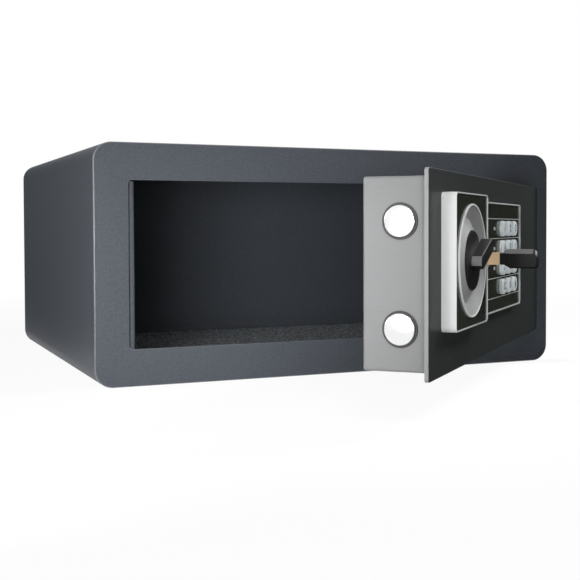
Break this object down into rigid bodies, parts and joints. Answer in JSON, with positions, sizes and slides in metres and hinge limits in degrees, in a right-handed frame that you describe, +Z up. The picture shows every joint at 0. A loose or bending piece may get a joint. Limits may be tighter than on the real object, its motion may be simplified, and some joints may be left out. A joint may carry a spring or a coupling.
{
  "type": "electronic safe",
  "caption": "Low steel safe with its door standing open: a cabinet with a wide doorway, and a door with a keypad, a lever knob, round sliding bolts and an emergency key.",
  "frame": {"origin": "centre of the underside of the cabinet, on the surface it stands on", "axes": "+X to the right seen from the front, +Y from front to back, +Z up"},
  "size_m": [0.43, 0.6346, 0.195],
  "materials": {
    "cabinet_paint": "fine textured powder coat",
    "door_paint": "semi-gloss powder coat",
    "carpet": "speckled carpet",
    "galvanised": "galvanised sheet",
    "zinc_steel": "zinc plated",
    "bolt_chrome": "polished",
    "bush_plastic": "moulded",
    "silver_moulding": "satin silver paint",
    "gloss_black": "gloss",
    "black_plastic": "satin",
    "brass": "satin",
    "lock_metal": "satin nickel",
    "key_caps": "pale blue",
    "circuit_board": "green laminate",
    "rubber_mat": "silicone",
    "battery_plastic": "moulded",
    "cells": "sleeved",
    "red_plastic": "gloss"
  },
  "bodies": {
    "cabinet": {"body_shell": "cabinet_paint", "front_frame": "cabinet_paint", "back_panel": "cabinet_paint", "floor_mat": "carpet", "strike_channel": "cabinet_paint", "hinge_bracket_lower": "zinc_steel", "hinge_bracket_upper": "zinc_steel", "hinge_pin_lower": "zinc_steel", "hinge_pin_upper": "zinc_steel"},
    "door": {"door_plate": "door_paint", "door_cover": "galvanised", "cover_posts": "galvanised", "cover_screws": "zinc_steel", "hinge_arm_lower": "zinc_steel", "hinge_arm_upper": "zinc_steel", "bolt_bushes": "bush_plastic", "guide_studs": "zinc_steel", "knob_bush": "bush_plastic", "solenoid": "zinc_steel", "lock_cylinder": "lock_metal", "lock_nut": "zinc_steel", "lock_block": "silver_moulding", "lock_block_face": "gloss_black", "knob_dish": "silver_moulding", "keypad_housing": "silver_moulding", "keypad_face": "gloss_black", "keypad_board": "circuit_board", "keypad_mat": "rubber_mat", "fascia_screws": "zinc_steel", "control_board": "circuit_board", "board_standoffs": "zinc_steel", "battery_holder": "battery_plastic", "batteries": "cells", "reset_switch": "battery_plastic"},
    "knob": {"knob": "black_plastic", "knob_spindle": "zinc_steel", "drive_cam": "zinc_steel"},
    "bolt_work": {"bolt_carriage": "galvanised", "bolt_lower": "bolt_chrome", "bolt_upper": "bolt_chrome"},
    "lock_plug": {"lock_plug": "brass", "release_cam": "zinc_steel"},
    "emergency_key": {"emergency_key_blade": "brass", "emergency_key_head": "black_plastic"},
    "blocker": {"solenoid_plunger": "zinc_steel", "release_link": "zinc_steel"},
    "battery_cover": {"battery_cover": "battery_plastic"},
    "reset_button": {"reset_button": "red_plastic"},
    "key_1": {"key_1": "key_caps"},
    "key_2": {"key_2": "key_caps"},
    "key_3": {"key_3": "key_caps"},
    "key_4": {"key_4": "key_caps"},
    "key_5": {"key_5": "key_caps"},
    "key_6": {"key_6": "key_caps"},
    "key_7": {"key_7": "key_caps"},
    "key_8": {"key_8": "key_caps"},
    "key_9": {"key_9": "key_caps"},
    "key_clear": {"key_clear": "key_caps"},
    "key_0": {"key_0": "key_caps"},
    "key_lock": {"key_lock": "key_caps"}
  },
  "joints": [
    {"name": "door_swing", "type": "hinge", "parent": "cabinet", "child": "door", "pos_m": [0.199, -0.169, 0.0975], "axis": [0, 0, 1], "range_deg": [-44.4, 43.6]},
    {"name": "knob_turn", "type": "hinge", "parent": "door", "child": "knob", "pos_m": [-0.01236, -0.39838, 0.1045], "axis": [0.6997, -0.7145, 0], "range_deg": [0, 90]},
    {"name": "bolt_slide", "type": "slide", "parent": "door", "child": "bolt_work", "axis": [-0.7145, -0.6997, 0], "range_m": [0, 0.012]},
    {"name": "lock_turn", "type": "hinge", "parent": "door", "child": "lock_plug", "pos_m": [0.03515, -0.35185, 0.104], "axis": [0.6997, -0.7145, 0], "range_deg": [0, 90]},
    {"name": "blocker_slide", "type": "slide", "parent": "door", "child": "blocker", "axis": [0, 0, -1], "range_m": [0, 0.004]},
    {"name": "key_withdraw", "type": "slide", "parent": "lock_plug", "child": "emergency_key", "axis": [0.6997, -0.7145, 0], "range_m": [0, 0.025]},
    {"name": "battery_cover_off", "type": "slide", "parent": "door", "child": "battery_cover", "axis": [-0.6997, 0.7145, 0], "range_m": [0, 0.015]},
    {"name": "reset_press", "type": "slide", "parent": "door", "child": "reset_button", "axis": [0.6997, -0.7145, 0], "range_m": [0, 0.001], "stiffness_N_per_m": 400, "springref_m": -0.0005},
    {"name": "press_1", "type": "slide", "parent": "door", "child": "key_1", "axis": [-0.6997, 0.7145, 0], "range_m": [0, 0.001], "stiffness_N_per_m": 400, "springref_m": -0.0005},
    {"name": "press_2", "type": "slide", "parent": "door", "child": "key_2", "axis": [-0.6997, 0.7145, 0], "range_m": [0, 0.001], "stiffness_N_per_m": 400, "springref_m": -0.0005},
    {"name": "press_3", "type": "slide", "parent": "door", "child": "key_3", "axis": [-0.6997, 0.7145, 0], "range_m": [0, 0.001], "stiffness_N_per_m": 400, "springref_m": -0.0005},
    {"name": "press_4", "type": "slide", "parent": "door", "child": "key_4", "axis": [-0.6997, 0.7145, 0], "range_m": [0, 0.001], "stiffness_N_per_m": 400, "springref_m": -0.0005},
    {"name": "press_5", "type": "slide", "parent": "door", "child": "key_5", "axis": [-0.6997, 0.7145, 0], "range_m": [0, 0.001], "stiffness_N_per_m": 400, "springref_m": -0.0005},
    {"name": "press_6", "type": "slide", "parent": "door", "child": "key_6", "axis": [-0.6997, 0.7145, 0], "range_m": [0, 0.001], "stiffness_N_per_m": 400, "springref_m": -0.0005},
    {"name": "press_7", "type": "slide", "parent": "door", "child": "key_7", "axis": [-0.6997, 0.7145, 0], "range_m": [0, 0.001], "stiffness_N_per_m": 400, "springref_m": -0.0005},
    {"name": "press_8", "type": "slide", "parent": "door", "child": "key_8", "axis": [-0.6997, 0.7145, 0], "range_m": [0, 0.001], "stiffness_N_per_m": 400, "springref_m": -0.0005},
    {"name": "press_9", "type": "slide", "parent": "door", "child": "key_9", "axis": [-0.6997, 0.7145, 0], "range_m": [0, 0.001], "stiffness_N_per_m": 400, "springref_m": -0.0005},
    {"name": "press_clear", "type": "slide", "parent": "door", "child": "key_clear", "axis": [-0.6997, 0.7145, 0], "range_m": [0, 0.001], "stiffness_N_per_m": 400, "springref_m": -0.0005},
    {"name": "press_0", "type": "slide", "parent": "door", "child": "key_0", "axis": [-0.6997, 0.7145, 0], "range_m": [0, 0.001], "stiffness_N_per_m": 400, "springref_m": -0.0005},
    {"name": "press_lock", "type": "slide", "parent": "door", "child": "key_lock", "axis": [-0.6997, 0.7145, 0], "range_m": [0, 0.001], "stiffness_N_per_m": 400, "springref_m": -0.0005}
  ],
  "couplings": [
    {"joint": "knob_turn", "follows": "bolt_slide", "rad_per_m": 130.9},
    {"joint": "lock_turn", "follows": "blocker_slide", "rad_per_m": 392.7}
  ]
}
